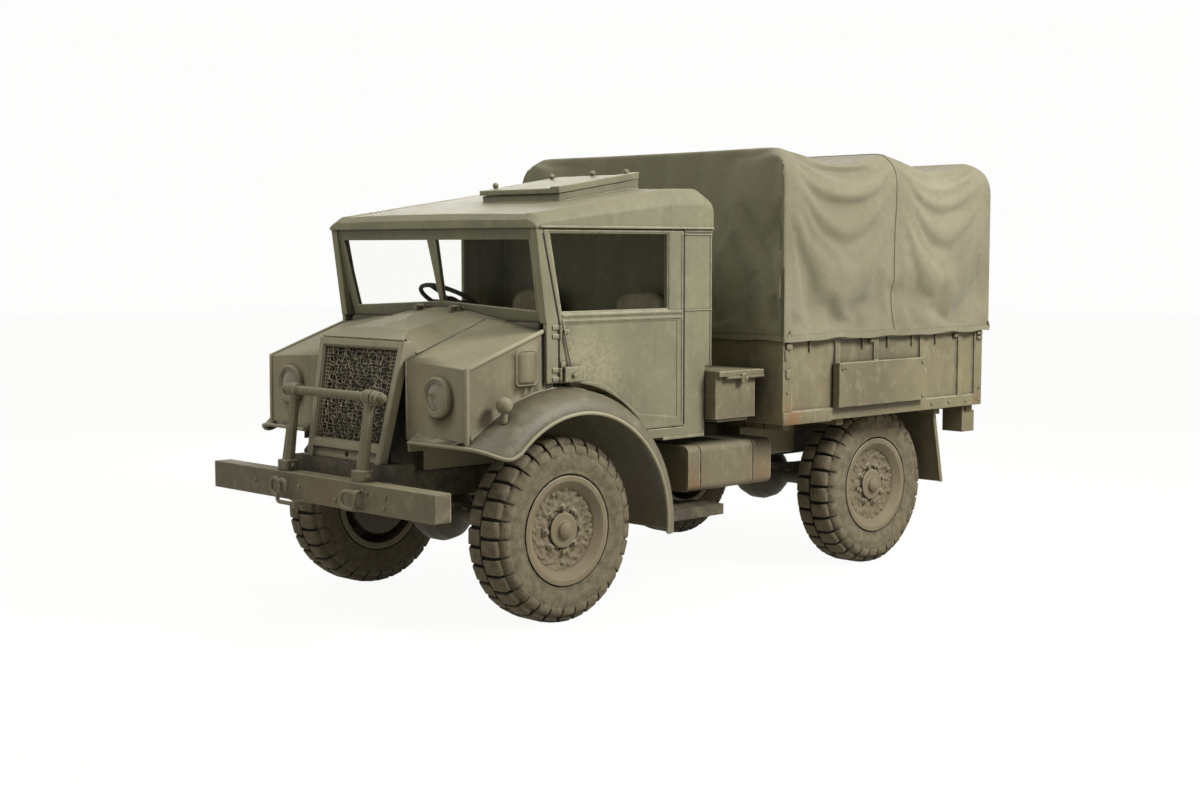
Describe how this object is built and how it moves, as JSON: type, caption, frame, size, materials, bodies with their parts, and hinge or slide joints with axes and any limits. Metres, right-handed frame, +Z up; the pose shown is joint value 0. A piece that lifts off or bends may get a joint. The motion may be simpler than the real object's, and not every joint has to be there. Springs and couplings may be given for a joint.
{
  "type": "military cargo truck",
  "caption": "Light four-wheel-drive military cargo truck with a snub nose, brush guard, hatch in the cab roof, drop-side cargo bed and sagging canvas tilt.",
  "frame": {"origin": "bottom centre of the bounding box, on the ground under the middle of the truck's length and width", "axes": "-Y to the front, +X to the truck's left, +Z up"},
  "size_m": [2.25, 4.442, 2.482],
  "materials": {
    "paint": "matte",
    "chassis_steel": "matte",
    "tyre": "matte",
    "glass": "gloss",
    "canvas": "matte",
    "seat_leather": "satin",
    "deck_wood": "matte",
    "radiator": "matte",
    "wheel_plastic": "satin"
  },
  "bodies": {
    "chassis": {"frame_rails": "chassis_steel", "front_bumper": "paint", "grille_guard": "paint", "radiator_shell": "paint", "grille_mesh": "chassis_steel", "radiator": "radiator", "engine": "chassis_steel", "driveline": "chassis_steel", "front_axle": "chassis_steel", "rear_axle": "chassis_steel", "wing_left": "paint", "wing_right": "paint", "lamps": "paint", "cab_floor": "paint", "cab_shell": "paint", "cab_roof": "paint", "windscreen_glass": "glass", "seats": "seat_leather", "toolboxes": "paint", "fuel_tanks": "paint", "steps": "paint", "bed_floor": "deck_wood", "bed_sides": "paint", "tilt": "canvas", "tilt_bows": "chassis_steel", "rear_mudguards": "paint"},
    "bonnet": {"bonnet": "paint"},
    "hatch_lid": {"hatch_lid": "paint"},
    "door_left": {"door_left": "paint"},
    "door_right": {"door_right": "paint"},
    "steering_wheel": {"steering_wheel": "wheel_plastic"},
    "toolbox_lid_left": {"toolbox_lid_left": "paint"},
    "toolbox_lid_right": {"toolbox_lid_right": "paint"},
    "tailgate": {"tailgate": "paint"},
    "knuckle_left": {"knuckle_left": "chassis_steel"},
    "knuckle_right": {"knuckle_right": "chassis_steel"},
    "tie_rod": {"tie_rod": "chassis_steel"},
    "wheel_front_left": {"tyre_front_left": "tyre", "wheel_front_left": "paint"},
    "wheel_front_right": {"tyre_front_right": "tyre", "wheel_front_right": "paint"},
    "wheel_rear_left": {"tyre_rear_left": "tyre", "wheel_rear_left": "paint"},
    "wheel_rear_right": {"tyre_rear_right": "tyre", "wheel_rear_right": "paint"}
  },
  "joints": [
    {"name": "steer_left", "type": "hinge", "parent": "chassis", "child": "knuckle_left", "pos_m": [0.6, -1.259, 0.48], "axis": [0, 0, 1], "range_deg": [-25, 25]},
    {"name": "steer_right", "type": "hinge", "parent": "chassis", "child": "knuckle_right", "pos_m": [-0.6, -1.259, 0.48], "axis": [0, 0, 1], "range_deg": [-25, 25]},
    {"name": "tie_rod_pivot", "type": "hinge", "parent": "knuckle_left", "child": "tie_rod", "pos_m": [0.6, -1.019, 0.448], "axis": [0, 0, 1], "range_deg": [-25, 25]},
    {"name": "steering_wheel_turn", "type": "hinge", "parent": "chassis", "child": "steering_wheel", "pos_m": [-0.38, -0.959, 1.59], "axis": [0, 0.49, 0.8717], "range_deg": [-400, 400]},
    {"name": "wheel_front_left_spin", "type": "hinge", "parent": "knuckle_left", "child": "wheel_front_left", "pos_m": [0.7875, -1.259, 0.48], "axis": [1, 0, 0], "continuous": true},
    {"name": "wheel_front_right_spin", "type": "hinge", "parent": "knuckle_right", "child": "wheel_front_right", "pos_m": [-0.7875, -1.259, 0.48], "axis": [1, 0, 0], "continuous": true},
    {"name": "wheel_rear_left_spin", "type": "hinge", "parent": "chassis", "child": "wheel_rear_left", "pos_m": [0.7875, 1.306, 0.48], "axis": [1, 0, 0], "continuous": true},
    {"name": "wheel_rear_right_spin", "type": "hinge", "parent": "chassis", "child": "wheel_rear_right", "pos_m": [-0.7875, 1.306, 0.48], "axis": [1, 0, 0], "continuous": true},
    {"name": "door_left_hinge", "type": "hinge", "parent": "chassis", "child": "door_left", "pos_m": [0.878, -1.2715, 1.4], "axis": [0, 0, -1], "range_deg": [0, 70]},
    {"name": "door_right_hinge", "type": "hinge", "parent": "chassis", "child": "door_right", "pos_m": [-0.878, -1.2715, 1.4], "axis": [0, 0, 1], "range_deg": [0, 70]},
    {"name": "bonnet_hinge", "type": "hinge", "parent": "chassis", "child": "bonnet", "pos_m": [0, -1.3595, 1.609], "axis": [-1, 0, 0], "range_deg": [0, 55]},
    {"name": "hatch_hinge", "type": "hinge", "parent": "chassis", "child": "hatch_lid", "pos_m": [0.185, -0.331, 2.3], "axis": [-1, 0, 0], "range_deg": [0, 100]},
    {"name": "tailgate_hinge", "type": "hinge", "parent": "chassis", "child": "tailgate", "pos_m": [0, 2.177, 0.936], "axis": [-1, 0, 0], "range_deg": [0, 90]},
    {"name": "toolbox_lid_left_hinge", "type": "hinge", "parent": "chassis", "child": "toolbox_lid_left", "pos_m": [0.551, 0.021, 1.222], "axis": [0, -1, 0], "range_deg": [0, 95]},
    {"name": "toolbox_lid_right_hinge", "type": "hinge", "parent": "chassis", "child": "toolbox_lid_right", "pos_m": [-0.551, 0.021, 1.222], "axis": [0, 1, 0], "range_deg": [0, 95]}
  ],
  "couplings": [
    {"joint": "steer_right", "follows": "steer_left", "ratio": 1},
    {"joint": "tie_rod_pivot", "follows": "steer_left", "ratio": -1},
    {"joint": "steering_wheel_turn", "follows": "steer_left", "ratio": 16}
  ]
}
